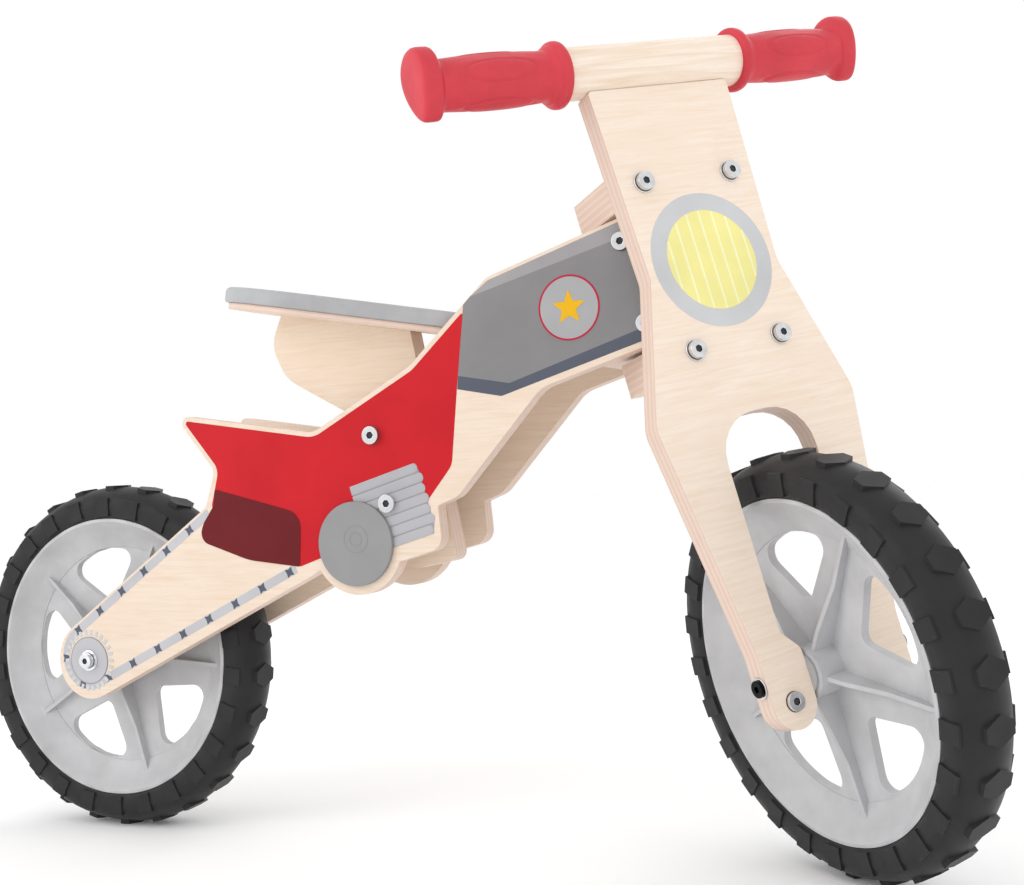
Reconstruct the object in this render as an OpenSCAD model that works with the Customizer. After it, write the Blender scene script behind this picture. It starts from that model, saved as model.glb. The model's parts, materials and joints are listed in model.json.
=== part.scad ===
// Wooden balance bike with two plywood side panels, a plywood fork plate,
// moulded rims, knobbly tyres, a height-adjustable seat and a turning fork.
// X points forward, Y to the rider's left, Z up. The fork is drawn turned to the right.

/* [Stance] */
// distance between the two axles with the fork straight ahead
wheelbase = 600; // [560:1:640]
// how far the fork is turned to the rider's right
steer_angle = 40; // [0:1:43]
// lean of the steering axis back from vertical
head_angle = 14.25; // [10:0.25:20]
// distance from the steering axis forward to the front axle
fork_offset = 35.5; // [32:0.5:42]

/* [Panels] */
// outside width across the two side panels
frame_w = 88; // [80:1:96]
// thickness of each side panel
panel_t = 12; // [9:0.5:15]
// radius of the round end around the rear axle
arm_end_r = 31; // [26:0.5:34]
// radius of the round boss under the engine
boss_r = 37.5; // [34:0.5:40]
// radius of the raised engine disc
disc_r = 31; // [26:0.5:33]
// thickness of the raised engine disc
disc_t = 3.5; // [2:0.5:5]

/* [Fork] */
// thickness of the fork plate
plate_t = 15; // [12:0.5:18]
// height of the plate's top above the front axle
plate_top = 400; // [380:1:420]
// half the width of the arch between the legs
arch_w = 36; // [32:0.5:38]
// height of the arch's top above the front axle
arch_top = 170.5; // [165:0.5:180]
// half the width of the two steering blocks
block_w = 45; // [38:0.5:46]
// length of the steering blocks behind the plate
block_l = 60; // [50:1:66]
// height of each steering block
block_h = 24; // [20:0.5:28]

/* [Handlebar] */
// radius of the round bar between the grips
bar_r = 17.5; // [15:0.5:19]
// height of the bar's axis above the front axle
bar_up = 416.5; // [400:0.5:430]
// half the length of the bar between the grips
bar_mid = 69; // [60:1:80]
// distance from the middle to the outer end of each grip
grip_end = 174; // [165:1:185]

/* [Wheels] */
// tyre radius over the tread blocks
wheel_r = 140; // [135:0.5:150]
// radius of the rim's outer lip
rim_r = 113; // [108:0.5:118]
// half the width of the rim
rim_w = 19; // [17:0.5:20]
// half the length of the hub
hub_w = 22; // [21:0.5:23]
// radius of the hub barrel
hub_r = 17; // [15:0.5:20]
// number of spokes
spokes = 5; // [5:1:6]
// number of tread blocks around each tyre
lugs = 26; // [22:1:30]
// radius of both axles
axle_r = 5; // [4:0.5:6]

/* [Seat] */
// how far the seat slopes down towards the front
seat_tilt = 11; // [5:0.5:14]
// half the width of the seat at its rear
seat_w = 68; // [60:1:75]
// thickness of the seat pad
pad_t = 12; // [10:0.5:16]
// thickness of the board under the pad
board_t = 5; // [4:0.5:8]
// thickness of the seat post board
post_t = 18; // [15:0.5:20]
// how far the seat can be raised
seat_travel = 30; // [20:1:30]

/* [Hidden] */
$fn = 48;
// rear axle's place, and its height above the ground less the tyre's radius
base_x = -283.834;
base_y = 22.82;
base_z = -0.11;
axle_z = base_z + wheel_r;
// inner and outer faces of the side panels
in_w = frame_w / 2 - panel_t;
out_w = frame_w / 2;
// steering axis at the rear axle's level, and how far the front axle's level is down it
axis_x = wheelbase - fork_offset / cos(head_angle);
axis_drop = fork_offset * tan(head_angle) - 2.125;
// ends of the head block along the steering axis, and the play for its washers
neck_top = 321;
neck_low = 233;
gap = 3;
// middle and radius of each fork foot
foot = [40.5, -14.5];
foot_r = 16.5;
// outer side of the legs at the axle
leg_out = foot[0] + foot_r;
// seat clamp bolts, and the lean of the slot in the seat post
clamp_up = [272.8, 166];
clamp_low = [283.5, 116];
slide_tilt = 12;
// middle of the engine disc
disc_at = [255.6, 87.6];
// head screws behind the steering axis, fork screws as [across, up] on the plate
head_bolt_back = 18.5;
screw_up = [35, 333.5];
screw_low = [34.6, 217];
// turn of each rim about its axle
rear_turn = -5;
front_turn = 52;

// ---- outline helpers ----

function unit(v) = v / norm(v);

// short way round from angle a to angle b
function turn(a, b) = (b - a > 180) ? b - a - 360 : (b - a < -180) ? b - a + 360 : b - a;

// points that round the corner b between a and c with radius r
function corner(a, b, c, r, n) =
    let (u = unit(a - b), v = unit(c - b), half = acos(u * v) / 2)
    let (d = r / tan(half), m = b + unit(u + v) * r / sin(half))
    let (p = b + u * d - m, q = b + v * d - m)
    let (from = atan2(p[1], p[0]), sweep = turn(from, atan2(q[1], q[0])))
    [for (i = [0 : n]) m + r * [cos(from + sweep * i / n), sin(from + sweep * i / n)]];

// closed outline from corners given as [x, y, radius]; radius 0 keeps a corner sharp
function rounded(pts, n = 6) =
    let (k = len(pts), xy = [for (p = pts) [p[0], p[1]]])
    [for (i = [0 : k - 1])
        for (p = pts[i][2] > 0
            ? corner(xy[(i + k - 1) % k], xy[i], xy[(i + 1) % k], pts[i][2], n)
            : [xy[i]]) p];

// the same corners on the other side of the middle line, in reverse order
function mirrored(pts) = [for (i = [len(pts) - 1 : -1 : 0]) [-pts[i][0], pts[i][1], pts[i][2]]];

// ---- placing helpers ----

// rear axle height, X forward from the rear axle, Z up from it
module at_frame() {
    translate([base_x, base_y, axle_z]) children();
}

// a flat outline in the X-Z plane, from y0 to y1
module upright(y0, y1) {
    translate([0, y1, 0]) rotate([90, 0, 0]) linear_extrude(y1 - y0) children();
}

// a round bar along Y, from y0 to y1
module crossbar(x, z, y0, y1, r) {
    translate([x, y1, z]) rotate([90, 0, 0]) cylinder(h = y1 - y0, r = r);
}

// steering axis: X forward from the axis, Z up along it
module at_axis(turned) {
    at_frame() translate([axis_x, 0, 0]) rotate([0, -head_angle, 0])
        rotate([0, 0, turned ? -steer_angle : 0]) translate([0, 0, -axis_drop]) children();
}

// fork plate: X out of its front face, Y to the left, Z up along it from the front axle
module at_fork() {
    at_axis(true) translate([fork_offset, 0, 0]) children();
}

// a flat outline drawn as [left, up] in the plane of the fork plate, from x0 to x1
module in_plate(x0, x1) {
    translate([x0, 0, 0]) rotate([90, 0, 90]) linear_extrude(x1 - x0) children();
}

// a round bar out of the plate's face
module through_plate(y, z, x0, x1, r) {
    translate([x0, y, z]) rotate([0, 90, 0]) cylinder(h = x1 - x0, r = r);
}

// socket head screw along +Z, head on top, shank below zero
module socket_screw(head_r, head_h, shank_r, shank_l) {
    difference() {
        union() {
            cylinder(h = head_h, r = head_r);
            translate([0, 0, -shank_l]) cylinder(h = shank_l + 0.5, r = shank_r);
        }
        translate([0, 0, head_h - 2.2]) cylinder(h = 3, r = head_r * 0.42, $fn = 6);
    }
}

// flat washer along +Z
module washer(outer, inner, t) {
    difference() {
        cylinder(h = t, r = outer);
        translate([0, 0, -1]) cylinder(h = t + 2, r = inner);
    }
}

// ---- side panels ----

// point beside the steering axis: back behind it, up along it from the front axle's level
function by_axis(back, up) =
    let (a = up - axis_drop)
    [axis_x - back * cos(head_angle) - a * sin(head_angle),
     -back * sin(head_angle) + a * cos(head_angle)];

neck_front_up = by_axis(6, neck_top);
neck_front_low = by_axis(6, neck_low);

panel_pts = [
    [-17.3, 25.7, 0], [122, 119.3, 10], [131.5, 147, 9], [95.3, 192.2, 5.5],
    [222, 170.9, 18], [306, 213.6, 20], [371, 271, 14],
    [neck_front_up[0], neck_front_up[1], 3], [neck_front_low[0], neck_front_low[1], 3],
    [408, 190.6, 25], [340, 118.8, 18],
    [323.9, 112.8, 1.5], [325.8, 82.8, 11], [286.6, 72.8, 0], [255.6, 87.6, 0],
    [216, 64.8, 0], [12.9, -28.2, 0]
];

head_bolt_up = by_axis(head_bolt_back, 305);
head_bolt_low = by_axis(head_bolt_back, 247);

module panel(y0, y1) {
    difference() {
        union() {
            upright(y0, y1) polygon(rounded(panel_pts));
            crossbar(0, 0, y0, y1, arm_end_r);
            crossbar(disc_at[0], disc_at[1], y0, y1, boss_r);
        }
        crossbar(0, 0, y0 - 1, y1 + 1, axle_r + 0.05);
        for (p = [clamp_up, clamp_low]) crossbar(p[0], p[1], y0 - 1, y1 + 1, 4.05);
        for (p = [head_bolt_up, head_bolt_low]) crossbar(p[0], p[1], y0 - 1, y1 + 1, 3.05);
    }
}

module frame_panel_right() {
    color("BurlyWood") at_frame() panel(-out_w, -in_w);
}

module frame_panel_left() {
    color("BurlyWood") at_frame() panel(in_w, out_w);
}

module head_block() {
    color("Tan") at_axis(false) difference() {
        union() {
            translate([-64, -in_w, neck_low]) cube([58, 2 * in_w, neck_top - neck_low]);
            translate([0, 0, neck_low]) cylinder(h = neck_top - neck_low, r = 24);
            translate([-20, -24, neck_low]) cube([20, 48, neck_top - neck_low]);
        }
        translate([0, 0, neck_low - 1]) cylinder(h = neck_top - neck_low + 2, r = 5.06);
        for (z = [247, 305], s = [-1, 1])
            translate([-head_bolt_back, s * in_w, z]) rotate([s * 90, 0, 0])
                translate([0, 0, -1]) cylinder(h = 19, r = 3.05);
    }
}

module head_screws() {
    color("Silver") at_axis(false)
        for (z = [247, 305], s = [-1, 1])
            translate([-head_bolt_back, s * out_w, z]) rotate([-s * 90, 0, 0])
                socket_screw(6.2, 3.5, 3, panel_t + 16);
}

module engine_disc_right() {
    color("DarkGray") at_frame()
        crossbar(disc_at[0], disc_at[1], -out_w - disc_t, -out_w, disc_r);
}

module engine_disc_left() {
    color("DarkGray") at_frame()
        crossbar(disc_at[0], disc_at[1], out_w, out_w + disc_t, disc_r);
}

// ---- seat ----

// height of the seat pad's top face above the rear axle, at x
function seat_top(x) = 281.8 - (x - 181) * tan(seat_tilt);

under_drop = (pad_t + board_t) / cos(seat_tilt);

post_pts = [
    [176, seat_top(176) - under_drop, 0], [289.6, seat_top(289.6) - under_drop, 0],
    [319.6, 72, 7], [279.3, 64.8, 7], [260, 170, 24], [178, 215.5, 30], [165.5, 243, 24]
];

module seat_post() {
    slot_end = clamp_low + seat_travel * [sin(slide_tilt), -cos(slide_tilt)];
    color("Wheat") at_frame() difference() {
        upright(-post_t / 2, post_t / 2) polygon(rounded(post_pts));
        upright(-post_t, post_t) polygon(slot_outline(clamp_up, slot_end, 4.1));
        for (x = [200, 262]) seat_hole(x, 1.9, 22);
    }
}

// outline of a slot with round ends from point a to point b
function slot_outline(a, b, r) =
    let (t = atan2(b[1] - a[1], b[0] - a[0]))
    concat([for (i = [0 : 8]) a + r * [cos(t + 90 + 22.5 * i), sin(t + 90 + 22.5 * i)]],
           [for (i = [0 : 8]) b + r * [cos(t - 90 + 22.5 * i), sin(t - 90 + 22.5 * i)]]);

// a screw hole square to the seat, from the board's top face downwards
module seat_hole(x, r, deep) {
    at_seat(x) translate([0, 0, -pad_t - board_t - deep]) cylinder(h = deep + board_t, r = r);
}

// X along the seat, Z square to it, zero on the pad's top face
module at_seat(x) {
    translate([x, 0, seat_top(x)]) rotate([0, seat_tilt, 0]) children();
}

// seat outline from above, as corners [along, across, radius], drawn inset
function seat_pts(inset) =
    let (h = [[-65 + inset, 0, 0], [-65 + inset, seat_w - inset, seat_w - 2 - inset],
              [22, seat_w - inset, 60], [118, 31 - inset, 30], [146 - inset, 28 - inset, 18],
              [146 - inset, 0, 0]])
    concat([for (p = h) [p[0], -p[1], p[2]]], [for (i = [4 : -1 : 1]) h[i]]);

module seat_board() {
    color("Wheat") at_frame() difference() {
        at_seat(200) translate([0, 0, -pad_t - board_t])
            linear_extrude(board_t) polygon(rounded(seat_pts(3)));
        for (x = [200, 262]) seat_hole(x, 2.05, 2);
    }
}

module seat_pad() {
    color("LightGray") at_frame() difference() {
        at_seat(200) union() {
            translate([0, 0, -pad_t]) linear_extrude(pad_t - 2) polygon(rounded(seat_pts(0)));
            translate([0, 0, -2]) linear_extrude(2) polygon(rounded(seat_pts(1.5)));
        }
        for (x = [200, 262]) at_seat(x)
            translate([0, 0, -pad_t - 1]) cylinder(h = 3.2, r = 5);
    }
}

module seat_screws() {
    color("Silver") at_frame() for (x = [200, 262]) at_seat(x)
        translate([0, 0, -pad_t]) {
            cylinder(h = 2, r = 4.5);
            translate([0, 0, -board_t - 20]) cylinder(h = board_t + 20.5, r = 1.85);
        }
}

module clamp_bolts() {
    color("Silver") at_frame() for (p = [clamp_up, clamp_low])
        translate([p[0], -out_w, p[1]]) rotate([90, 0, 0])
            socket_screw(6.6, 4, 4, frame_w - 0.1);
}

module clamp_nuts() {
    color("Silver") at_frame() for (p = [clamp_up, clamp_low])
        translate([p[0], out_w, p[1]]) rotate([-90, 0, 0]) difference() {
            cylinder(h = 4, r = 6.6);
            translate([0, 0, 1.8]) cylinder(h = 3, r = 2.8, $fn = 6);
        }
}

module post_spacers() {
    color("DimGray") at_frame() for (p = [clamp_up, clamp_low], s = [-1, 1])
        difference() {
            crossbar(p[0], p[1], s > 0 ? post_t / 2 + 0.1 : -in_w,
                     s > 0 ? in_w : -post_t / 2 - 0.1, 7.5);
            crossbar(p[0], p[1], -out_w, out_w, 4.05);
        }
}

// ---- wheels, drawn about Z with the hub's middle at zero ----

rim_pts = [[109, -15], [113, -16], [113, -19], [110.5, -19.5], [104, -12], [97, -7],
           [89, -3.5], [89, 3.5], [97, 7], [104, 12], [110.5, 19.5], [113, 19],
           [113, 16], [109, 15]];

// opening between two spokes, as [out from the hub, across, radius]
window_pts = [[41, 0, 7], [79.5, -36.5, 9], [92.5, 0, 60], [79.5, 36.5, 9]];

// tall thin rib along a spoke, drawn as [out from the hub, across]
rib_pts = [[10, -19], [30, -17], [62, -9.5], [98, -7.5], [98, 7.5], [62, 9.5], [30, 17], [10, 19]];

module rim() {
    difference() {
        union() {
            rotate_extrude($fn = 96) polygon([for (p = rim_pts)
                [p[0] + rim_r - 113, p[1] * rim_w / 19]]);
            translate([0, 0, -3]) cylinder(h = 6, r = 91, $fn = 96);
            translate([0, 0, -hub_w]) cylinder(h = 2 * hub_w, r = hub_r);
            for (i = [0 : spokes - 1]) rotate([0, 0, i * 360 / spokes])
                rotate([90, 0, 0]) translate([0, 0, -1.5]) linear_extrude(3) polygon(rib_pts);
        }
        for (i = [0 : spokes - 1]) rotate([0, 0, (i + 0.5) * 360 / spokes])
            translate([0, 0, -10]) linear_extrude(20) polygon(rounded(window_pts));
        translate([0, 0, -hub_w - 1]) cylinder(h = 2 * hub_w + 2, r = 7);
        for (s = [-1, 1]) translate([0, 0, s * (hub_w - 5)])
            translate([0, 0, -5.1]) cylinder(h = 10.2, r = 10);
    }
}

module bushes() {
    for (s = [-1, 1]) translate([0, 0, s * (hub_w - 5)]) difference() {
        translate([0, 0, -5]) cylinder(h = 10, r = 10);
        translate([0, 0, -6]) cylinder(h = 12, r = axle_r + 0.05);
    }
}

tyre_pts = [[109.1, -14.8], [113.2, -15.8], [113.4, -18.6], [117, -20.4], [124, -21],
            [130.5, -19.6], [134.4, -15.5], [137, -9.7], [138.4, -5], [138.9, -1.6],
            [138.9, 1.6], [138.4, 5], [137, 9.7], [134.4, 15.5], [130.5, 19.6], [124, 21],
            [117, 20.4], [113.4, 18.6], [113.2, 15.8], [109.1, 14.8]];

// flat top of a tread block, as [across the tyre, around it], its radius and the block's height
lug_pts = [[-11, -4.2], [0, -10], [11, -4.2], [11, 4.2], [0, 10], [-11, 4.2]];
lug_r = wheel_r - 0.1;
lug_h = 5.9;
// side block of the tyre: out from the rim, around the tyre, across, and outer face
side_lug = [15, 13, 6];
side_out = 22;

module tyre() {
    rotate_extrude($fn = 96) polygon([for (p = tyre_pts) [p[0] + rim_r - 113, p[1]]]);
    for (i = [0 : lugs - 1]) rotate([0, 0, (i + 0.5) * 360 / lugs]) {
        translate([lug_r - lug_h, 0, 0]) rotate([0, 90, 0])
            linear_extrude(lug_h) polygon(lug_pts);
        for (z = [-side_out, side_out - side_lug[2]])
            translate([rim_r + 2, -side_lug[1] / 2, z]) cube(side_lug);
    }
}

module at_rear_wheel() {
    at_frame() rotate([90, 0, 0]) children();
}

module at_front_wheel() {
    at_fork() rotate([90, 0, 0]) children();
}

module rear_rim() {
    color("Gainsboro") at_rear_wheel() rotate([0, 0, rear_turn]) rim();
}

module rear_tyre() {
    color("DimGray") at_rear_wheel() tyre();
}

module rear_bushes() {
    color("White") at_rear_wheel() bushes();
}

module front_rim() {
    color("Gainsboro") at_front_wheel() rotate([0, 0, front_turn]) rim();
}

module front_tyre() {
    color("DimGray") at_front_wheel() tyre();
}

module front_bushes() {
    color("White") at_front_wheel() bushes();
}

module rear_axle() {
    color("Silver") at_frame() difference() {
        crossbar(0, 0, -out_w, out_w, axle_r);
        crossbar(0, 0, -out_w - 1, out_w + 1, 3.05);
    }
}

module rear_axle_bolts() {
    color("Silver") at_frame() for (s = [-1, 1])
        translate([0, s * (out_w + 1.5), 0]) rotate([-s * 90, 0, 0])
            socket_screw(6, 4.5, 3, 20);
}

module rear_washers() {
    color("Silver") at_frame() for (s = [-1, 1])
        translate([0, s * out_w, 0]) rotate([-s * 90, 0, 0]) washer(8.5, 3.05, 1.5);
}

module rear_spacers() {
    color("White") at_frame() for (s = [-1, 1])
        translate([0, s * (hub_w + 0.3), 0]) rotate([-s * 90, 0, 0])
            washer(10, axle_r + 0.05, in_w - hub_w - 0.3);
}

// ---- fork ----

leg_half = [
    [56, plate_top, 2.5], [51.5, 268, 18], [80, 172, 24], [57.2, 20, 40],
    [foot[0] + foot_r, foot[1], 0], [foot[0], foot[1], 0], [foot[0] - foot_r, foot[1], 0],
    [foot[0] - foot_r, 17, 8], [arch_w, 30, 6], [arch_w, arch_top, 30]
];

module fork_plate() {
    color("BurlyWood") at_fork() difference() {
        union() {
            in_plate(-plate_t / 2, plate_t / 2)
                polygon(rounded(concat(leg_half, mirrored(leg_half))));
            for (s = [-1, 1])
                through_plate(s * foot[0], foot[1], -plate_t / 2, plate_t / 2, foot_r);
        }
        crossbar(0, bar_up, -100, 100, bar_r + 0.02);
        crossbar(0, 0, -100, 100, axle_r + 0.05);
        for (s = [-1, 1]) {
            through_plate(s * screw_up[0], screw_up[1], -20, 20, 3.05);
            through_plate(s * screw_low[0], screw_low[1], -20, 20, 3.05);
            through_plate(s * foot[0], foot[1] + 1, -20, 20, 4.05);
            translate([0, s * 32, plate_top - 60]) cylinder(h = 80, r = 2.55);
        }
    }
}

module steering_block(z0, screw) {
    difference() {
        translate([-plate_t / 2 - block_l, -block_w, z0]) cube([block_l, 2 * block_w, block_h]);
        translate([-fork_offset, 0, z0 - 1]) cylinder(h = block_h + 2, r = 5.03);
        for (s = [-1, 1])
            through_plate(s * screw[0], screw[1], -plate_t / 2 - 36, -plate_t / 2 + 1, 3.05);
    }
}

module upper_block() {
    color("Tan") at_fork() steering_block(neck_top + gap, screw_up);
}

module lower_block() {
    color("Tan") at_fork() steering_block(neck_low - gap - block_h, screw_low);
}

module fork_screws() {
    color("Silver") at_fork() for (p = [screw_up, screw_low], s = [-1, 1])
        translate([plate_t / 2 + 1.2, s * p[0], p[1]]) rotate([0, 90, 0])
            socket_screw(6.2, 4, 3, plate_t + 34);
}

module fork_washers() {
    color("Silver") at_fork() for (p = [screw_up, screw_low], s = [-1, 1])
        translate([plate_t / 2, s * p[0], p[1]]) rotate([0, 90, 0]) washer(7.4, 3.05, 1.2);
}

module steering_pin() {
    color("Silver") at_fork() translate([-fork_offset, 0, 0]) {
        translate([0, 0, neck_low - gap - block_h - 14])
            cylinder(h = neck_top - neck_low + 2 * gap + 2 * block_h + 14.5, r = 5);
        translate([0, 0, neck_top + gap + block_h]) cylinder(h = 2, r = 11);
        translate([0, 0, neck_top + gap + block_h + 1.5]) cylinder(h = 6.5, r = 8.6, $fn = 6);
    }
}

module steering_nut() {
    color("Silver") at_fork() translate([-fork_offset, 0, neck_low - gap - block_h]) difference() {
        union() {
            translate([0, 0, -2]) cylinder(h = 2, r = 11);
            translate([0, 0, -10]) cylinder(h = 8.5, r = 8.6, $fn = 6);
        }
        translate([0, 0, -11]) cylinder(h = 12, r = 5.03);
    }
}

module nylon_washers() {
    color("White") at_fork() for (z = [neck_low - gap, neck_top + 0.1])
        translate([-fork_offset, 0, z]) washer(15, 5.03, gap - 0.1);
}

module handlebar() {
    color("Wheat") at_fork() translate([0, 0, bar_up]) difference() {
        union() {
            crossbar(0, 0, -bar_mid, bar_mid, bar_r);
            crossbar(0, 0, -grip_end + 12, grip_end - 12, 12);
        }
        for (s = [-1, 1]) translate([0, s * 32, -bar_r - 1]) cylinder(h = 40, r = 2.55);
        for (s = [-1, 1]) translate([0, s * 32, bar_r - 3.5]) cylinder(h = 8, r = 5.5);
    }
}

module handlebar_screws() {
    color("Silver") at_fork() for (s = [-1, 1])
        translate([0, s * 32, bar_up + bar_r - 3.5]) socket_screw(5.2, 3.2, 2.5, bar_r * 2 + 38);
}

// grip profile as [radius, distance from its inner end]
grip_pts = [[12.1, 0], [20.5, 0], [22, 1.5], [22, 5.5], [20.5, 7.5], [17.2, 9.5], [16.4, 14],
            [16.8, 30], [17.6, 52], [16.8, 74], [16.4, 90], [12.1, 90]];

// egg outline of the grip's end, pointed at the bottom, as [forward, up, radius]
egg_pts = [[-18, 25, 16], [18, 25, 16], [17.5, -4, 18], [4, -23, 6], [-4, -23, 6], [-17.5, -4, 18]];

module grip(s) {
    reach = grip_end - bar_mid - 14;
    at_fork() translate([0, s * bar_mid, bar_up]) rotate([-s * 90, 0, 0]) difference() {
        union() {
            rotate_extrude($fn = 64) polygon([for (p = grip_pts) [p[0], p[1] * reach / 90]]);
            translate([0, 0, reach - 0.5]) linear_extrude(3)
                polygon(egg(0.93, s));
            translate([0, 0, reach + 2]) linear_extrude(9) polygon(egg(1, s));
            translate([0, 0, reach + 10.5]) linear_extrude(3.5) polygon(egg(0.9, s));
        }
        translate([0, 0, -1]) cylinder(h = reach + 4.1, r = 12.1);
    }
}

// egg outline scaled by k and turned for the side s
function egg(k, s) = rounded([for (p = egg_pts) [p[0] * k, -s * p[1] * k, p[2] * k]]);

module grip_right() {
    color("Crimson") grip(-1);
}

module grip_left() {
    color("Crimson") grip(1);
}

// ---- front axle ----

module front_axle() {
    color("Silver") at_fork() difference() {
        crossbar(0, 0, -leg_out + 6, leg_out - 6, axle_r);
        crossbar(0, 0, -leg_out, leg_out, 3.05);
    }
}

module front_axle_bolts() {
    color("DimGray") at_fork() for (s = [-1, 1])
        translate([0, s * (leg_out + 1.4), 0]) rotate([-s * 90, 0, 0])
            socket_screw(5.6, 1.9, 3, 24);
}

module front_washers() {
    color("Silver") at_fork() for (s = [-1, 1])
        translate([0, s * (leg_out + 0.15), 0]) rotate([-s * 90, 0, 0]) washer(7.2, 3.05, 1.2);
}

module cross_bolts() {
    color("Silver") at_fork() for (s = [-1, 1])
        translate([plate_t / 2, s * foot[0], foot[1] + 1]) rotate([0, 90, 0])
            socket_screw(6.2, 2.8, 4, plate_t);
}

module cross_nuts() {
    color("Silver") at_fork() for (s = [-1, 1])
        translate([-plate_t / 2, s * foot[0], foot[1] + 1]) rotate([0, -90, 0])
            washer(6.2, 2, 2.5);
}

module hub_washers() {
    color("White") at_fork() for (s = [-1, 1])
        translate([0, s * (hub_w + 0.3), 0]) rotate([-s * 90, 0, 0])
            washer(13.5, axle_r + 0.05, foot[0] - foot_r - hub_w - 0.35);
}

// ---- every sub-part ----

frame_panel_right();
frame_panel_left();
head_block();
head_screws();
engine_disc_right();
engine_disc_left();
seat_post();
seat_board();
seat_pad();
seat_screws();
clamp_bolts();
clamp_nuts();
post_spacers();
rear_axle();
rear_axle_bolts();
rear_washers();
rear_spacers();
rear_rim();
rear_tyre();
rear_bushes();
fork_plate();
upper_block();
lower_block();
fork_screws();
fork_washers();
steering_pin();
steering_nut();
nylon_washers();
handlebar();
handlebar_screws();
grip_right();
grip_left();
front_axle();
front_axle_bolts();
front_washers();
cross_bolts();
cross_nuts();
hub_washers();
front_rim();
front_tyre();
front_bushes();
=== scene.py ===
import json
import math
import bmesh
import bpy
from mathutils import Matrix, Vector


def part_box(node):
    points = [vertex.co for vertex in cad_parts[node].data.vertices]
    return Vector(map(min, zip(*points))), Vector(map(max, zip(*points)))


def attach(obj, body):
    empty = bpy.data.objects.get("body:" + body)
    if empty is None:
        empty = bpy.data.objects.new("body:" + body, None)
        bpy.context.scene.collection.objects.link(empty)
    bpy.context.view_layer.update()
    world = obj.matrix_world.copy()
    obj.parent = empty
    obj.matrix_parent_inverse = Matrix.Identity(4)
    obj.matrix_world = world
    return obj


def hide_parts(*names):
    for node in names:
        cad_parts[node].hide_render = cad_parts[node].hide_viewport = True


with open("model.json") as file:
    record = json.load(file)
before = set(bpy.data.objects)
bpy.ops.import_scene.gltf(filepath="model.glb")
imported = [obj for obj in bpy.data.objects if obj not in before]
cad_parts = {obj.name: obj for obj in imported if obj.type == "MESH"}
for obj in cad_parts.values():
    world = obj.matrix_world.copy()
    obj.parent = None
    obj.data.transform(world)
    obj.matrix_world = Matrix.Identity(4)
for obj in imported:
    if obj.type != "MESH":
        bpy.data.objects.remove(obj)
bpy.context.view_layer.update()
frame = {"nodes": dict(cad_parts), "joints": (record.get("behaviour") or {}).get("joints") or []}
MM = 0.001

# ---------------------------------------------------------------- places in the frame

joints = {j["name"]: j for j in frame["joints"]}


def middle(node):
    """Middle of a CAD node's box."""
    low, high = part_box(node)
    return (low + high) / 2


def place(origin, x, y, z):
    """Matrix from a local frame, in metres, to the row frame."""
    m = Matrix([x, y, z]).transposed().to_4x4()
    m.translation = origin
    return m


X, Y, Z = Vector((1, 0, 0)), Vector((0, 1, 0)), Vector((0, 0, 1))
rear_hub = middle("rear_axle")
steer_up = Vector(joints["steering"]["axis"])
fork_left = Vector(joints["front_wheel_spin"]["axis"])
fork_ahead = fork_left.cross(steer_up)
front_hub = Vector(joints["front_wheel_spin"]["pos_m"])

# panel faces: along the bike, up, outward
RIGHT = place(rear_hub, X, Z, -Y)
LEFT = place(rear_hub, X, Z, Y)
# fork plate: to the left, up the plate, out of its front face
PLATE = place(front_hub, fork_left, steer_up, fork_ahead)

# outer faces of the side panels and the fork plate, from the middle, in millimetres
PANEL_FACE = (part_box("frame_panel_left")[1].y - rear_hub.y) / MM
PLATE_FACE = 7.5


# ---------------------------------------------------------------- node materials


def linear(rgb):
    """Scene-linear RGBA from display values of 0 to 255."""
    def one(c):
        c /= 255
        return c / 12.92 if c <= 0.04045 else ((c + 0.055) / 1.055) ** 2.4
    return (*[one(c) for c in rgb], 1)


def shade(rgb):
    """Base colour that looks like rgb under the soft studio light and its reflections."""
    return (*[max(0.94 * c - 0.014, 0.003) for c in linear(rgb)[:3]], 1)


def add(tree, kind, inputs=None, **settings):
    """A new node with its settings, and its inputs linked or set."""
    made = tree.nodes.new(kind)
    for key, value in settings.items():
        setattr(made, key, value)
    for key, value in (inputs or {}).items():
        if isinstance(value, bpy.types.NodeSocket):
            tree.links.new(value, made.inputs[key])
        else:
            made.inputs[key].default_value = value
    return made


def new_material(name):
    mat = bpy.data.materials.new(name)
    mat.use_nodes = True
    tree = mat.node_tree
    return mat, tree, tree.nodes["Principled BSDF"]


def maths(tree, operation, a, b=0.0, c=0.0):
    made = add(tree, "ShaderNodeMath", {0: a, 1: b, 2: c}, operation=operation)
    return made.outputs[0]


def mix_colour(tree, share, a, b):
    made = add(tree, "ShaderNodeMix", {0: share, 6: a, 7: b}, data_type="RGBA", blend_type="MIX")
    return made.outputs[2]


def ramp(tree, value, low, high, to_low=0.0, to_high=1.0):
    made = add(tree, "ShaderNodeMapRange",
               {"Value": value, "From Min": low, "From Max": high, "To Min": to_low,
                "To Max": to_high})
    return made.outputs[0]


def noise(tree, where, scale, detail=4.0, rough=0.55, distortion=0.0):
    made = add(tree, "ShaderNodeTexNoise",
               {"Vector": where, "Scale": scale, "Detail": detail, "Roughness": rough,
                "Distortion": distortion})
    return made.outputs["Fac"]


def stretched(tree, vector, x, y, z):
    made = add(tree, "ShaderNodeVectorMath", {0: vector, 1: (x, y, z)}, operation="MULTIPLY")
    return made.outputs[0]


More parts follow.
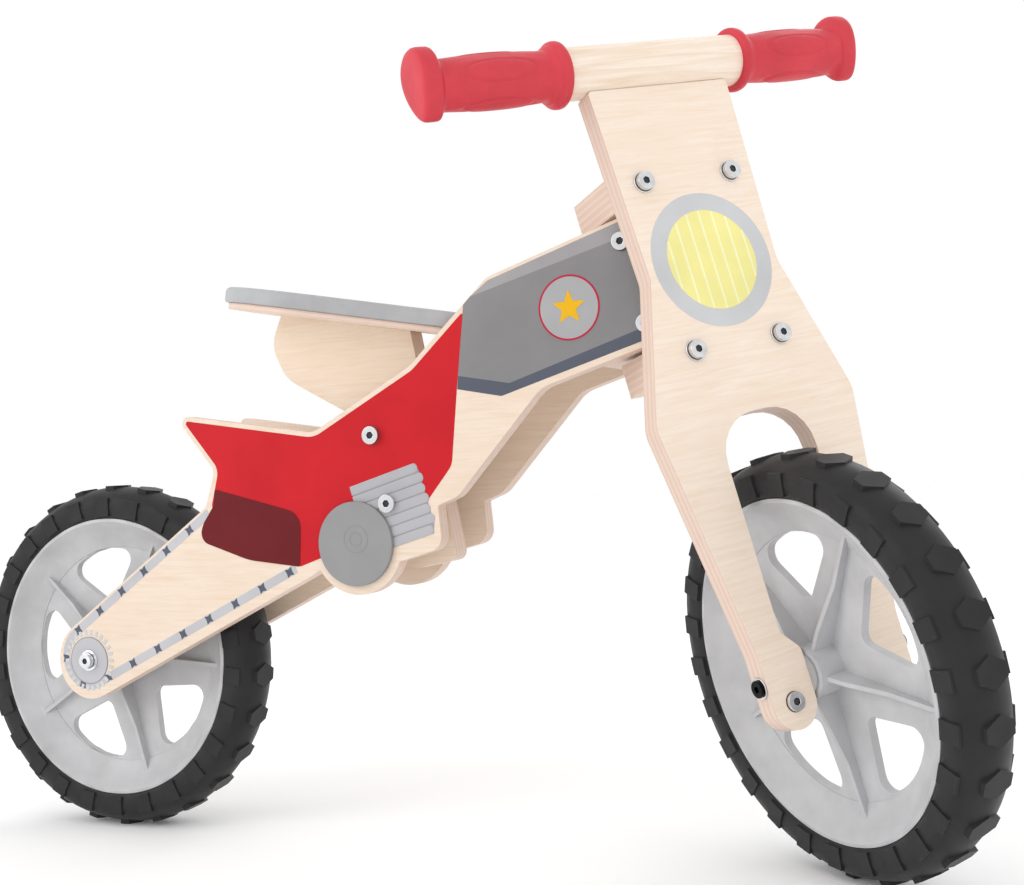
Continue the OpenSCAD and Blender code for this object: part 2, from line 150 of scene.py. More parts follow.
def local_mm(tree, where, vector, shift=True):
    """A row-frame position, or with shift off a direction, in a place's own axes."""
    inverse = where.inverted()
    parts = []
    for row in range(3):
        axis = Vector(inverse[row][:3])
        dot = add(tree, "ShaderNodeVectorMath", {0: vector, 1: axis / (MM if shift else 1)},
                  operation="DOT_PRODUCT").outputs["Value"]
        parts.append(maths(tree, "ADD", dot, inverse[row][3] / MM if shift else 0))
    made = add(tree, "ShaderNodeCombineXYZ", {0: parts[0], 1: parts[1], 2: parts[2]})
    return made.outputs[0], parts


def plywood(name, where, ply=2.4, seed=0.0, tint=(248, 231, 213)):
    """Lacquered birch plywood: fine wavy grain on the faces, stacked plies on the cut edges."""
    mat, tree, shader = new_material(name)
    coords = add(tree, "ShaderNodeTexCoord")
    local, (_, _, across) = local_mm(tree, where, coords.outputs["Object"])
    _, (_, _, facing) = local_mm(tree, where, coords.outputs["Normal"], shift=False)
    moved = add(tree, "ShaderNodeVectorMath", {0: local, 1: (seed, seed * 1.7, 0)}, operation="ADD")
    moved = moved.outputs[0]
    cloud = noise(tree, stretched(tree, moved, 0.012, 0.03, 0), 1.0, 3.0)
    streaks = noise(tree, stretched(tree, moved, 0.02, 0.33, 0), 1.0, 5.0, 0.62, 0.9)
    fine = noise(tree, stretched(tree, moved, 0.07, 1.1, 0), 1.0, 3.0, 0.55, 0.5)
    flecks = noise(tree, stretched(tree, moved, 0.16, 1.5, 0), 1.0, 2.0, 0.5)
    light = shade(tint)
    warm = shade((tint[0] - 7, tint[1] - 13, tint[2] - 19))
    dark = shade((tint[0] - 24, tint[1] - 36, tint[2] - 46))
    face = mix_colour(tree, ramp(tree, streaks, 0.42, 0.70, 0, 0.9), light, warm)
    face = mix_colour(tree, ramp(tree, cloud, 0.45, 0.7, 0, 0.4), face, warm)
    face = mix_colour(tree, ramp(tree, fine, 0.56, 0.76, 0, 0.45), face, warm)
    face = mix_colour(tree, ramp(tree, flecks, 0.64, 0.76, 0, 0.30), face, dark)
    uneven = noise(tree, stretched(tree, moved, 0.03, 0.03, 0.5), 1.0, 2.0)
    wavering = maths(tree, "ADD", across, ramp(tree, uneven, 0, 1, -0.5, 0.5))
    layer = maths(tree, "DIVIDE", wavering, ply)
    odd = maths(tree, "PINGPONG", layer, 1.0)
    end_grain = noise(tree, stretched(tree, moved, 0.9, 0.9, 2.0), 1.0, 3.0, 0.6)
    long_grain = noise(tree, stretched(tree, moved, 0.05, 0.05, 3.0), 1.0, 3.0, 0.6)
    pale = mix_colour(tree, ramp(tree, long_grain, 0.35, 0.7), shade((236, 213, 197)),
                      shade((228, 203, 187)))
    deep = mix_colour(tree, ramp(tree, end_grain, 0.35, 0.65), shade((229, 205, 190)),
                      shade((220, 194, 178)))
    edge = mix_colour(tree, ramp(tree, odd, 0.40, 0.60), pale, deep)
    glue = maths(tree, "ABSOLUTE", maths(tree, "SUBTRACT", odd, 0.5))
    edge = mix_colour(tree, ramp(tree, glue, 0.0, 0.06, 0.25, 0), edge, shade((176, 146, 130)))
    on_face = ramp(tree, maths(tree, "ABSOLUTE", facing), 0.72, 0.9)
    colour = mix_colour(tree, on_face, edge, face)
    tree.links.new(colour, shader.inputs["Base Color"])
    tree.links.new(ramp(tree, streaks, 0.2, 0.8, 0.42, 0.56), shader.inputs["Roughness"])
    height = mix_colour(tree, on_face, end_grain, fine)
    bump = add(tree, "ShaderNodeBump", {"Height": height, "Strength": 0.12, "Distance": 0.0004})
    tree.links.new(bump.outputs[0], shader.inputs["Normal"])
    shader.inputs["Specular IOR Level"].default_value = 0.3
    shader.inputs["Coat Weight"].default_value = 0.06
    shader.inputs["Coat Roughness"].default_value = 0.35
    return mat


def turned_wood(name, where):
    """Round beech bar with its grain along the bar, the third local axis."""
    mat, tree, shader = new_material(name)
    coords = add(tree, "ShaderNodeTexCoord")
    local, _ = local_mm(tree, where, coords.outputs["Object"])
    streaks = noise(tree, stretched(tree, local, 0.22, 0.22, 0.012), 1.0, 6.0, 0.6, 0.8)
    flecks = noise(tree, stretched(tree, local, 1.6, 1.6, 0.16), 1.0, 2.0, 0.5)
    face = mix_colour(tree, ramp(tree, streaks, 0.38, 0.7), shade((253, 238, 224)),
                      shade((238, 215, 188)))
    face = mix_colour(tree, ramp(tree, flecks, 0.62, 0.78, 0, 0.35), face, shade((214, 184, 152)))
    tree.links.new(face, shader.inputs["Base Color"])
    tree.links.new(ramp(tree, streaks, 0.2, 0.8, 0.38, 0.52), shader.inputs["Roughness"])
    bump = add(tree, "ShaderNodeBump", {"Height": flecks, "Strength": 0.1, "Distance": 0.0003})
    tree.links.new(bump.outputs[0], shader.inputs["Normal"])
    shader.inputs["Specular IOR Level"].default_value = 0.3
    shader.inputs["Coat Weight"].default_value = 0.1
    shader.inputs["Coat Roughness"].default_value = 0.3
    return mat


def painted(name, rgb, rough=0.42):
    """Screen-printed paint on wood: even colour, faint cloudiness and the grain just showing."""
    mat, tree, shader = new_material(name)
    coords = add(tree, "ShaderNodeTexCoord").outputs["Object"]
    cloud = noise(tree, coords, 18.0, 3.0)
    grain = noise(tree, stretched(tree, coords, 60, 60, 700), 1.0, 3.0)
    deep = shade([c * 0.94 for c in rgb])
    colour = mix_colour(tree, ramp(tree, cloud, 0.3, 0.7), shade(rgb), deep)
    tree.links.new(colour, shader.inputs["Base Color"])
    tree.links.new(ramp(tree, cloud, 0.3, 0.7, rough, rough + 0.08), shader.inputs["Roughness"])
    bump = add(tree, "ShaderNodeBump", {"Height": grain, "Strength": 0.08, "Distance": 0.0003})
    tree.links.new(bump.outputs[0], shader.inputs["Normal"])
    shader.inputs["Specular IOR Level"].default_value = 0.2
    return mat


def moulded(name, rgb, rough, grain_scale=900.0, grain=0.12, sheen=0.0):
    """Moulded plastic or rubber with a fine texture, faint mottling and uneven gloss."""
    mat, tree, shader = new_material(name)
    coords = add(tree, "ShaderNodeTexCoord").outputs["Object"]
    mottle = noise(tree, coords, 35.0, 4.0)
    texture = noise(tree, coords, grain_scale, 2.0)
    deep = shade([c * 0.93 for c in rgb])
    colour = mix_colour(tree, ramp(tree, mottle, 0.35, 0.7), shade(rgb), deep)
    tree.links.new(colour, shader.inputs["Base Color"])
    tree.links.new(ramp(tree, mottle, 0.3, 0.7, rough - 0.04, rough + 0.06),
                   shader.inputs["Roughness"])
    bump = add(tree, "ShaderNodeBump", {"Height": texture, "Strength": grain, "Distance": 0.0003})
    tree.links.new(bump.outputs[0], shader.inputs["Normal"])
    shader.inputs["Specular IOR Level"].default_value = 0.2
    shader.inputs["Sheen Weight"].default_value = sheen
    return mat


def plated(name, rgb, rough):
    """Plated steel with fine turning marks and small bright and dull patches."""
    mat, tree, shader = new_material(name)
    coords = add(tree, "ShaderNodeTexCoord").outputs["Object"]
    patches = noise(tree, coords, 160.0, 3.0)
    marks = noise(tree, coords, 1500.0, 2.0)
    colour = mix_colour(tree, ramp(tree, patches, 0.3, 0.7), linear(rgb),
                        linear([c * 0.9 for c in rgb]))
    tree.links.new(colour, shader.inputs["Base Color"])
    tree.links.new(ramp(tree, patches, 0.3, 0.7, rough, rough + 0.1), shader.inputs["Roughness"])
    bump = add(tree, "ShaderNodeBump", {"Height": marks, "Strength": 0.05, "Distance": 0.0002})
    tree.links.new(bump.outputs[0], shader.inputs["Normal"])
    shader.inputs["Metallic"].default_value = 1.0
    return mat


# ---------------------------------------------------------------- finishes of the CAD nodes


def dress(node, mat, width=0.6, steps=2):
    """Gives a CAD node its material and softens its sharp edges."""
    piece = frame["nodes"][node]
    piece.data.materials.clear()
    piece.data.materials.append(mat)
    weld = piece.modifiers.new("weld", "WELD")
    weld.merge_threshold = 0.00002
    if width:
        flat = piece.modifiers.new("flat", "DECIMATE")
        flat.decimate_type = "DISSOLVE"
        flat.angle_limit = math.radians(0.4)
        bevel = piece.modifiers.new("bevel", "BEVEL")
        bevel.width = width * MM
        bevel.segments = steps
        bevel.limit_method = "ANGLE"
        bevel.angle_limit = math.radians(40)
        bevel.miter_outer = "MITER_ARC"
    normals = piece.modifiers.new("normals", "WEIGHTED_NORMAL")
    normals.keep_sharp = False
    for face in piece.data.polygons:
        face.use_smooth = True
    return piece


def wood_place(node, x, y, z):
    return place(middle(node), x, y, z)


seat_tilt = math.radians(11)
seat_ahead = Vector((math.cos(seat_tilt), 0, -math.sin(seat_tilt)))
seat_up = Vector((math.sin(seat_tilt), 0, math.cos(seat_tilt)))
axis_ahead = Y.cross(steer_up)

steel = plated("plated_steel", (226, 227, 229), 0.12)
black_steel = plated("black_steel", (28, 28, 30), 0.25)
nylon = moulded("natural_nylon", (226, 226, 222), 0.4)
rim_grey = moulded("rim_plastic", (203, 203, 205), 0.42, 500.0, 0.08)
rubber = moulded("tyre_rubber", (55, 55, 56), 0.5, 700.0, 0.25, 0.05)
grip_red = moulded("grip_rubber", (219, 76, 86), 0.42, 1100.0, 0.12)
disc_grey = painted("disc_paint", (155, 155, 156))

# painted shade: the side panels' plywood gets a darker tint than the same plywood elsewhere, for
# how the light falls on them
PANEL_SHADED_TINT = (235, 218, 201)
for name, outward, seed in (("frame_panel_right", -Y, 0), ("frame_panel_left", Y, 90)):
    dress(name, plywood(f"ply_{name}", wood_place(name, X, Z, outward), seed=seed, tint=PANEL_SHADED_TINT),
          1.6, 3)
head_ply = plywood("ply_head", wood_place("head_block", axis_ahead, steer_up, Y), seed=40)
dress("head_block", head_ply, 1)
# painted shade: the seat post's plywood is tinted darker for the shade it stands in under the seat
post_ply = plywood("ply_post", wood_place("seat_post", X, Z, Y), seed=140, tint=(241, 224, 206))
dress("seat_post", post_ply, 1.2)
board_ply = plywood("ply_board", wood_place("seat_board", seat_ahead, Y, seat_up), seed=15)
dress("seat_board", board_ply, 0.8)
# painted light: the fork plate's plywood is tinted lighter than the same plywood elsewhere
fork_ply = plywood("ply_fork", PLATE, seed=60, tint=(251, 235, 219))
dress("fork_plate", fork_ply, 1.6, 3)
block_ply = plywood("ply_block", place(front_hub, fork_ahead, fork_left, steer_up), seed=33)
dress("upper_block", block_ply, 1.0)
dress("lower_block", block_ply, 1.0)
bar_place = place(middle("handlebar"), fork_ahead, steer_up, fork_left)
dress("handlebar", turned_wood("beech_bar", bar_place), 0.8)
for name in ("engine_disc_right", "engine_disc_left"):
    dress(name, disc_grey, 0.6)
for name in ("head_screws", "seat_screws", "clamp_bolts", "clamp_nuts", "rear_axle",
             "rear_axle_bolts", "rear_washers", "fork_screws", "fork_washers", "steering_pin",
             "steering_nut", "handlebar_screws", "front_axle", "front_washers", "cross_bolts",
             "cross_nuts"):
    dress(name, steel, 0.4)
dress("front_axle_bolts", black_steel, 0.4)
for name in ("post_spacers", "rear_spacers", "nylon_washers", "rear_bushes", "front_bushes"):
    dress(name, nylon, 0.3)
dress("hub_washers", moulded("grey_nylon", (184, 184, 186), 0.45, 500.0, 0.08), 0.3)
for name in ("rear_rim", "front_rim"):
    dress(name, rim_grey, 0.8)
for name in ("rear_tyre", "front_tyre"):
    dress(name, rubber, 0.6)

# ---------------------------------------------------------------- outlines and mesh helpers


def rounded(points, steps=8):
    """Closed outline from corners [x, y, radius], each corner an arc of its radius."""
    out = []
    count = len(points)
    for i, (x, y, r) in enumerate(points):
        here = Vector((x, y))
        if r <= 0:
            out.append(here)
            continue
        u = (Vector(points[i - 1][:2]) - here).normalized()
        v = (Vector(points[(i + 1) % count][:2]) - here).normalized()
        half = math.acos(max(-1.0, min(1.0, u.dot(v)))) / 2
        hub = here + (u + v).normalized() * r / math.sin(half)
        start, end = here + u * r / math.tan(half) - hub, here + v * r / math.tan(half) - hub
        first = math.atan2(start.y, start.x)
        sweep = (math.atan2(end.y, end.x) - first + math.pi) % (2 * math.pi) - math.pi
        for k in range(steps + 1):
            a = first + sweep * k / steps
            out.append(hub + Vector((math.cos(a), math.sin(a))) * r)
    return out


def inset(points, margin):
    """Corners [x, y, radius] of a clockwise outline moved inward, their radii kept in step."""
    out = []
    count = len(points)
    for i in range(count):
        a, b, c = (Vector(points[(i + k) % count][:2]) for k in (-1, 0, 1))
        u, v = (b - a).normalized(), (c - b).normalized()
        n, m = Vector((u.y, -u.x)), Vector((v.y, -v.x))
        corner = b + (n + m) * margin / (1 + n.dot(m))
        turns_in = u.x * v.y - u.y * v.x > 0
        radius = points[i][2] + margin if turns_in else max(points[i][2] - margin, 0.6)
        out.append((corner.x, corner.y, radius))
    return out


def circle(x, y, r, steps=64):
    return [Vector((x + r * math.cos(2 * math.pi * k / steps),
                    y + r * math.sin(2 * math.pi * k / steps))) for k in range(steps)]


def add_slab(bm, outline, low, high):
    """A closed flat slab of an outline, from low to high along the third axis."""
    bottom = [bm.verts.new((p.x, p.y, low)) for p in outline]
    top = [bm.verts.new((p.x, p.y, high)) for p in outline]
    bm.faces.new(bottom[::-1])
    bm.faces.new(top)
    count = len(outline)
    for i in range(count):
        j = (i + 1) % count
        bm.faces.new((bottom[i], bottom[j], top[j], top[i]))


def add_band(bm, outer, inner, low, high):
    """A closed flat slab between two outlines with the same number of points."""
    rings = [[bm.verts.new((p.x, p.y, h)) for p in side]
             for side, h in ((outer, low), (outer, high), (inner, high), (inner, low))]
    join_rings(bm, rings, closed_along=True)


def join_rings(bm, rings, closed_along=False):
    """Quads between neighbouring rings of vertices, each ring closed on itself."""
    pairs = list(zip(rings, rings[1:] + rings[:1] if closed_along else rings[1:]))
    for a, b in pairs:
        count = len(a)
        for i in range(count):
            j = (i + 1) % count
            bm.faces.new((a[i], a[j], b[j], b[i]))


def piece(name, bm, where, mat, body, slot, sharp=35):
    """Finishes a mesh drawn in a place's millimetres as a piece that rides on a body."""
    bm.transform(where @ Matrix.Scale(MM, 4))
    bmesh.ops.recalc_face_normals(bm, faces=bm.faces[:])
    mesh = bpy.data.meshes.new(name)
    bm.to_mesh(mesh)
    bm.free()
    for face in mesh.polygons:
        face.use_smooth = True
    mesh.set_sharp_from_angle(angle=math.radians(sharp))
    mesh.materials.append(mat)
    made = bpy.data.objects.new(name, mesh)
    bpy.context.scene.collection.objects.link(made)
    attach(made, body)
    return made


def slab(name, outline, low, high, where, mat, body, slot="plywood"):
    bm = bmesh.new()
    add_slab(bm, outline, low, high)
    return piece(name, bm, where, mat, body, slot)


def band(name, outer, inner, low, high, where, mat, body, slot="plywood"):
    bm = bmesh.new()
    add_band(bm, outer, inner, low, high)
    return piece(name, bm, where, mat, body, slot)


# ---------------------------------------------------------------- prints on the side panels

red = painted("red_paint", (206, 40, 48))
dark_red = painted("dark_red_paint", (112, 38, 42))
tank_grey = painted("tank_paint", (140, 139, 140))
light_grey = painted("light_grey_paint", (164, 162, 164))
slate = painted("slate_paint", (95, 100, 112))
fin_grey = painted("fin_paint", (184, 183, 187))
chain_grey = painted("chain_paint", (198, 198, 202))
fin_line = painted("fin_line_paint", (160, 160, 165))
disc_line = painted("disc_line_paint", (150, 150, 150))
crimson = painted("crimson_paint", (190, 48, 74))
badge_grey = painted("badge_paint", (176, 176, 178))
star_yellow = painted("star_paint", (240, 186, 32))
ring_grey = painted("ring_paint", (211, 212, 214))
lens_yellow = painted("lens_paint", (251, 243, 161))
stripe_cream = painted("stripe_paint", (255, 255, 208))

TAIL = [(12.9, -28.2, 0), (-17.3, 25.7, 0), (122, 119.3, 10), (131.5, 147, 9),
        (95.3, 192.2, 5.5), (222, 170.9, 18), (306, 213.6, 20)]
NECK = [(371, 271, 14), (480.3, 303, 3), (501.9, 217.7, 3), (408, 190.6, 25)]
PANEL = TAIL + NECK + [(340, 118.8, 18)]
DISC = (255.6, 87.6)
BADGE = (432, 243.8)
PAINT = 0.12


def on_line(a, b, x):
    """Point at x on the line through a and b."""
    share = (x - a[0]) / (b[0] - a[0])
    return (x, a[1] + (b[1] - a[1]) * share)


def red_outline():
    edge = inset(PANEL, 3.6)
    top = on_line(edge[6], edge[7], 351.5)
    corners = [(128, 121, 4), *edge[3:7], (*top, 1), (343.7, 194.9, 60), (336.6, 141, 14),
               (316, 117, 3), (286, 84, 0), (256, 80, 0), (223.5, 77.5, 0), (206.1, 71.8, 2),
               (163, 80, 0), (128, 93, 3)]
    return rounded(corners)


def cover_outline():
    return rounded([(131.3, 132.6, 1.5), (208.5, 111.4, 14), (205.6, 71.6, 2), (160, 77.6, 60),
                    (114, 93.8, 9), (119.5, 107, 8), (129.5, 120, 8)])


def tank_outlines():
    """Light strip along the top, grey field and slate strip along the bottom."""
    edge = inset(PANEL, 2.4)
    top_back, top_front, low_front = edge[7:10]
    strip, slate_drop, slate_deep = 10.7, 1.6, 8.6
    split_front = (top_front[0] + 2.7, top_front[1] - strip)
    split_back = (357.3, 258.6)
    bottom_front = (low_front[0] - 1.2, low_front[1] + slate_drop + slate_deep)
    slate_front = (low_front[0], low_front[1] + slate_drop)
    light = [(*split_back, 0), (top_back[0], top_back[1], 11), (*top_front[:2], 1),
             (*split_front, 0)]
    grey = [(351.9, 253.4, 1), (*split_back, 0), (*split_front, 0), (*bottom_front, 0),
            (384.7, 195.8, 0), (345.1, 203.8, 0)]
    dark = [(345.1, 203.8, 0), (384.7, 195.8, 0), (*bottom_front, 0), (*slate_front, 0),
            (378, 187.2, 0), (344, 194.4, 0)]
    return [rounded(o) for o in (light, grey, dark)]


def chain_path():
    """Middle line of the chain: upper strand, round the arm's end, lower strand."""
    hub, radius = Vector((-0.5, 3)), 23
    up, low = math.radians(33.9), math.radians(24.6)
    ahead_up = Vector((math.cos(up), math.sin(up)))
    ahead_low = Vector((math.cos(low), math.sin(low)))
    first, last = up + math.pi / 2, low + 1.5 * math.pi
    start = hub + radius * Vector((math.cos(first), math.sin(first)))
    end = hub + radius * Vector((math.cos(last), math.sin(last)))
    path = [start + ahead_up * (166 - 4 * k) for k in range(42)]
    for k in range(1, 40):
        a = first + (last - first) * k / 40
        path.append(hub + radius * Vector((math.cos(a), math.sin(a))))
    return path + [end + ahead_low * 4 * k for k in range(54)]


def walk(path, distance):
    """Point and direction at a distance along a path."""
    for a, b in zip(path, path[1:]):
        step = (b - a).length
        if distance <= step:
            return a.lerp(b, distance / step), (b - a).normalized()
        distance -= step
    return path[-1], (path[-1] - path[-2]).normalized()


def add_ribbon(bm, path, half, low, high):
    """A flat strip of constant width along a path."""
    rings = []
    for i, p in enumerate(path):
        along = (path[min(i + 1, len(path) - 1)] - path[max(i - 1, 0)]).normalized()
        side = Vector((-along.y, along.x)) * half
        corners = ((p + side, low), (p + side, high), (p - side, high), (p - side, low))
        rings.append([bm.verts.new((q.x, q.y, h)) for q, h in corners])
    join_rings(bm, rings)
    bm.faces.new(rings[0])
    bm.faces.new(rings[-1][::-1])


def paint_chain(side, where, face):
    path = chain_path()
    length = sum((b - a).length for a, b in zip(path, path[1:]))
    bm = bmesh.new()
    add_ribbon(bm, path, 3.4, face - 0.1, face + PAINT)
    piece(f"chain_{side}", bm, where, chain_grey, "frame", "plywood")
    bm = bmesh.new()
    spacing, first = 27.8, 162 % 27.8
    for k in range(int(length / spacing) + 1):
        if first + spacing * k > length - 3:
            break
        at, along = walk(path, first + spacing * k)
        across = Vector((-along.y, along.x))
        shape = []
        for a, b in ((-3.1, -3.4), (0, -2.3), (3.1, -3.4), (2.5, 0), (3.1, 3.4), (0, 2.3),
                     (-3.1, 3.4), (-2.5, 0)):
            shape.append(at + along * a + across * b)
        add_slab(bm, shape, face, face + 2 * PAINT)
    piece(f"chain_links_{side}", bm, where, slate, "frame", "plywood")


def paint_sprocket(side, where, face):
    bm = bmesh.new()
    teeth = 26
    for k in range(teeth):
        a = 2 * math.pi * k / teeth
        out, across = Vector((math.cos(a), math.sin(a))), Vector((-math.sin(a), math.cos(a)))
        add_slab(bm, [out * 20.4 - across * 1.5, out * 24.6 - across * 1.1,
                      out * 24.6 + across * 1.1, out * 20.4 + across * 1.5],
                 face, face + 3 * PAINT)
    piece(f"sprocket_teeth_{side}", bm, where, ring_grey, "frame", "plywood")
    band(f"sprocket_{side}", circle(0, 0, 18.9), circle(0, 0, 4.5), face, face + 3 * PAINT,
         where, chain_grey, "frame")
    band(f"sprocket_line_{side}", circle(0, 0, 18.9), circle(0, 0, 18.2), face,
         face + 3.5 * PAINT, where, fin_line, "frame")


def paint_fins(side, where, face):
    """Cooling fins beside the engine disc, each a low rounded bar over a darker ground."""
    slope = math.radians(15.4)
    along = Vector((math.cos(slope), math.sin(slope)))
    down = Vector((math.sin(slope), -math.cos(slope)))
    corner = Vector((251.7, 129.5))
    fins, pitch, reach = 7, 7.65, 58.2
    spread = [0.0, 2.4, 1.6, 2.2, 0.8, 2.0, -1.4]

    def at(s, t):
        return corner + along * s + down * t

    ground = [(0.8, 0.8), (reach - 1, 0.8), (reach + 0.2, 6), (reach + 0.2, 46), (reach - 2.5, 53),
              (28, 53), (6, 36), (0.8, 12)]
    slab(f"fin_ground_{side}", [at(s, t) for s, t in ground], face, face + 2 * PAINT, where,
         fin_line, "frame")
    bm = bmesh.new()
    for k in range(fins):
        left = 0 if k < 5 else 22
        right = reach + spread[k]
        high, mid, low = k * pitch + 0.25, (k + 0.5) * pitch, (k + 1) * pitch - 0.45
        rings = []
        for shrink, height in ((0, 0), (0.1, 0.75), (0.9, 1.15), (1.9, 1.25)):
            ring = [at(left + shrink, high + shrink), at(right - 2.8, high + shrink)]
            for a in range(-60, 61, 20):
                bow = math.radians(a)
                ring.append(at(right - 2.8 + (2.8 - shrink) * math.cos(bow),
                               mid + (pitch / 2 - 0.35 - shrink) * math.sin(bow)))
            ring += [at(right - 2.8, low - shrink), at(left + shrink, low - shrink)]
            rings.append([bm.verts.new((p.x, p.y, face + height * 0.6)) for p in ring])
        join_rings(bm, rings)
        bm.faces.new(rings[0][::-1])
        bm.faces.new(rings[-1])
    piece(f"fins_{side}", bm, where, fin_grey, "frame", "plywood", sharp=50)


def star(x, y, outer, inner, tilt=0):
    points = []
    for k in range(10):
        r = inner if k % 2 else outer
        a = math.radians(90 + 36 * k + tilt)
        points.append(Vector((x + r * math.cos(a), y + r * math.sin(a))))
    return points


def paint_panel(side, where):
    face = PANEL_FACE
    slab(f"red_field_{side}", red_outline(), face - 0.1, face + PAINT, where, red, "frame")
    slab(f"side_cover_{side}", cover_outline(), face, face + 3 * PAINT, where, dark_red, "frame")
    light, grey, dark = tank_outlines()
    slab(f"tank_top_{side}", light, face - 0.1, face + PAINT, where, light_grey, "frame")
    slab(f"tank_{side}", grey, face - 0.1, face + PAINT, where, tank_grey, "frame")
    slab(f"tank_base_{side}", dark, face - 0.1, face + PAINT, where, slate, "frame")
    band(f"badge_ring_{side}", circle(*BADGE, 22.5), circle(*BADGE, 21.2), face,
         face + 2.6 * PAINT, where, crimson, "frame")
    slab(f"badge_{side}", circle(*BADGE, 21.3), face, face + 2 * PAINT, where, badge_grey, "frame")
    slab(f"badge_star_{side}", star(*BADGE, 12.5, 5.4), face, face + 3.2 * PAINT, where,
         star_yellow, "frame")
    paint_chain(side, where, face)
    paint_sprocket(side, where, face)
    paint_fins(side, where, face)
    cap = (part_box("engine_disc_left")[1].y - rear_hub.y) / MM
    band(f"disc_circle_{side}", circle(DISC[0] + 1.2, DISC[1] + 3.4, 10.2),
         circle(DISC[0] + 1.2, DISC[1] + 3.4, 9.5), cap - 0.1, cap + PAINT, where, disc_line,
         "frame")
    band(f"disc_dot_{side}", circle(DISC[0] + 1.2, DISC[1] + 3.4, 5.2, 32),
         circle(DISC[0] + 1.2, DISC[1] + 3.4, 4.7, 32), cap - 0.1, cap + PAINT, where, disc_line,
         "frame")


paint_panel("right", RIGHT)
paint_panel("left", LEFT)


def paint_lamp():
    """Round headlamp on the fork plate: a grey ring, a yellow lens and its pale stripes."""
    y, ring, lens = 275, 46.5, 34.4
    face = PLATE_FACE
    band("lamp_ring", circle(0, y, ring, 96), circle(0, y, lens, 96), face - 0.1, face + PAINT,
         PLATE, ring_grey, "fork")
    slab("lamp_lens", circle(0, y, lens + 0.1, 96), face - 0.1, face + 1.6 * PAINT, PLATE,
         lens_yellow, "fork")
    bm = bmesh.new()
    for k in range(-3, 4):
        x = 10 * k
        reach = math.sqrt((lens - 0.2) ** 2 - x * x)
        add_slab(bm, [Vector((x - 0.7, y - reach)), Vector((x + 0.7, y - reach)),
                      Vector((x + 0.7, y + reach)), Vector((x - 0.7, y + reach))],
                 face, face + 2.4 * PAINT)
    piece("lamp_stripes", bm, PLATE, stripe_cream, "fork", "plywood")


paint_lamp()

# ---------------------------------------------------------------- seat pad

SEAT_W, PAD_T = 68, 12


def seat_outline():
    half = [(-65, SEAT_W, SEAT_W - 2), (22, SEAT_W, 60), (118, 31, 30), (146, 28, 18)]
    corners = half + [(x, -y, r) for x, y, r in half[::-1]]
    return rounded(corners, 16)


def seat_pad():
    """Foam pad with rounded rims and a low crown, drawn over the seat's own axes."""
    outline = seat_outline()
    count = len(outline)
    centre = sum(outline, Vector((0, 0))) / count
    rings = []
    bm = bmesh.new()
    profile = [(6, -PAD_T + 0.02), (1.2, -PAD_T + 0.05), (0.3, -PAD_T + 0.7), (0, -PAD_T + 2),
               (0, -4.5), (0.3, -2.9), (1.0, -1.6), (2.2, -0.7), (4, -0.25), (6.5, 0)]
    for margin, height in profile:
        ring = []
        for i, p in enumerate(outline):
            along = (outline[(i + 1) % count] - outline[i - 1]).normalized()
            inward = Vector((along.y, -along.x))
            if inward.dot(centre - p) < 0:
                inward = -inward
            q = p + inward * margin
            ring.append(bm.verts.new((q.x, q.y, height)))
        rings.append(ring)
    rim = [v.co.copy() for v in rings[-1]]
    for share in (0.8, 0.6, 0.4, 0.2):
        height = 0.9 * (1 - share ** 2)
        rings.append([bm.verts.new((centre.x + (c.x - centre.x) * share,
                                    c.y * share, height)) for c in rim])
    join_rings(bm, rings)
    bm.faces.new(rings[0][::-1])
    bm.faces.new(rings[-1])
    top = rear_hub + Vector((200, 0, 281.8 - 19 * math.tan(seat_tilt))) * MM
    made = piece("seat_cushion", bm, place(top, seat_ahead, Y, seat_up), pad_cover, "seat", "pad")
    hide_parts("seat_pad")


pad_cover = moulded("pad_cover", (182, 183, 185), 0.6, 420.0, 0.25, 0.15)
seat_pad()

# ---------------------------------------------------------------- grips

BAR_HALF, CORE = 69, 12.2
# shape along a grip from its inner end: [distance, radius, share of the egg outline]
GRIP_ENDS = ([(92, CORE, 0), (0, CORE, 0), (0, 19.6, 0), (0.3, 20.9, 0), (1.1, 21.7, 0),
              (2.4, 22, 0), (4.2, 22, 0), (5.6, 21.6, 0), (6.6, 20.7, 0), (7.2, 19.6, 0),
              (7.9, 19.1, 0), (9.2, 18.9, 0), (10.0, 18.3, 0), (10.7, 17.5, 0)],
             [(89.5, 16.6, 0.02), (90.4, 17.2, 0.2), (91.2, 18.6, 0.75), (91.9, 20.2, 0.93),
              (92.8, 21.0, 0.97), (94.2, 21.5, 1), (97, 21.6, 1), (100.4, 21.6, 1),
              (102.4, 21.3, 1), (103.8, 20.5, 1), (104.6, 19.2, 1), (104.9, 17, 1),
              (105, 12, 1), (105, 6, 1)])


def egg(angle, radius):
    """Point of an egg outline, pointed downward, at an angle from its top."""
    scale = radius / 21.6
    return (17.6 * scale * math.sin(angle) * (1 + 0.3 * math.cos(angle)),
            scale * (1 + 24 * math.cos(angle)))


def pad_height(distance, angle):
    """Raised oval finger pads with a groove round each, at four places around the barrel."""
    height = 0.0
    for k in range(4):
        off = (math.degrees(angle) - 90 * k + 180) % 360 - 180
        reach = math.hypot((distance - 50) / 25.5, off / 25)
        height += 1.15 * max(0.0, 1 - (reach / 1.6) ** 2)
        height -= 0.75 * math.exp(-((reach - 1) / 0.085) ** 2)
        height += 0.45 * max(0.0, min(1.0, (1 - reach) / 0.15))
    return height


